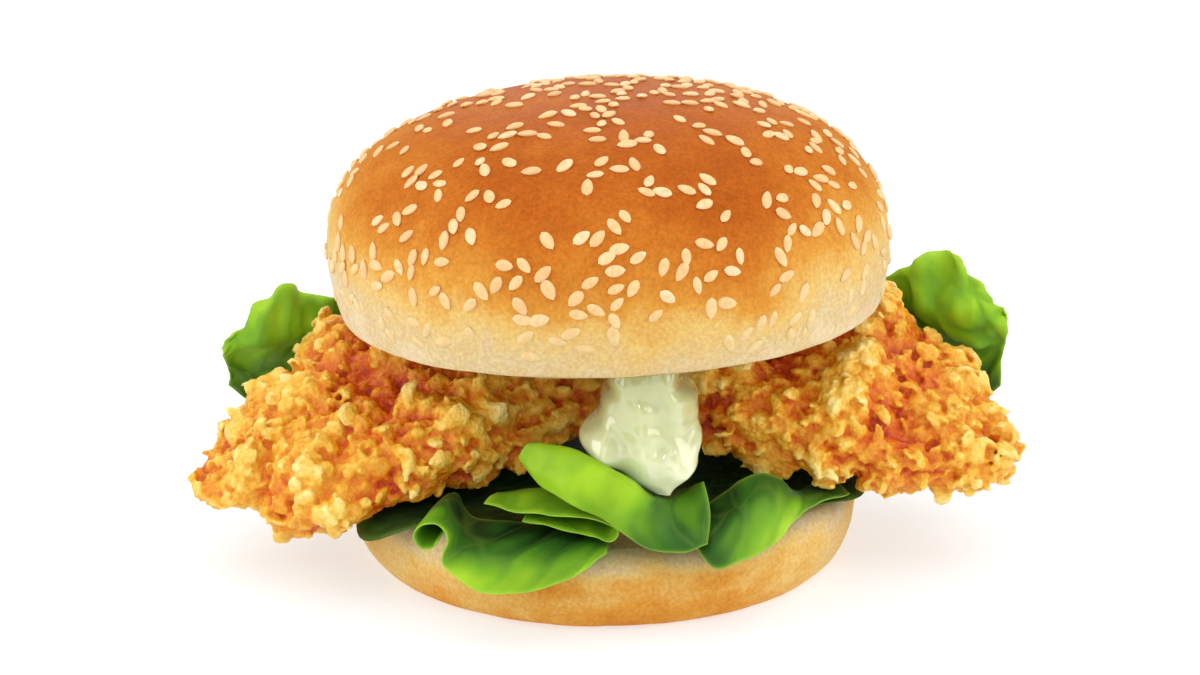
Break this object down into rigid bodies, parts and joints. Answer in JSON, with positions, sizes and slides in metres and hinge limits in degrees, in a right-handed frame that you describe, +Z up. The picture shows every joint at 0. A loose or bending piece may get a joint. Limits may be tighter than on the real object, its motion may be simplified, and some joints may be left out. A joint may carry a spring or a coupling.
{
  "type": "chicken burger",
  "caption": "Crispy chicken burger: seeded bun crown, crumbed chicken strips, lettuce leaves and mayonnaise on a round bun heel.",
  "frame": {"origin": "middle of the bun heel's flat base, at the height of the surface it stands on", "axes": "+Z up, +X along the chicken strips towards the right of the picture, +Y away from the picture's camera"},
  "size_m": [0.1567, 0.1111, 0.0897],
  "materials": {
    "bun_heel": "soft baked bread crust, golden side and pale floury shoulder",
    "bun_crown": "satin baked bread crust, orange brown on top, pale at the rim, with cream sesame seeds",
    "chicken": "craggy fried crumb, golden with darker crevices",
    "mayonnaise": "glossy cream sauce",
    "lettuce": "fresh waxy leaf with fine veins"
  },
  "bodies": {
    "root": {"bun_heel": "bun_heel", "bun_crown": "bun_crown", "chicken_left": "chicken", "chicken_right": "chicken", "mayonnaise": "mayonnaise", "lettuce_base": "lettuce", "lettuce_front_left": "lettuce", "lettuce_front_fold": "lettuce", "lettuce_front_middle": "lettuce", "lettuce_front_right": "lettuce", "lettuce_back_left": "lettuce", "lettuce_back_right": "lettuce"}
  },
  "joints": []
}
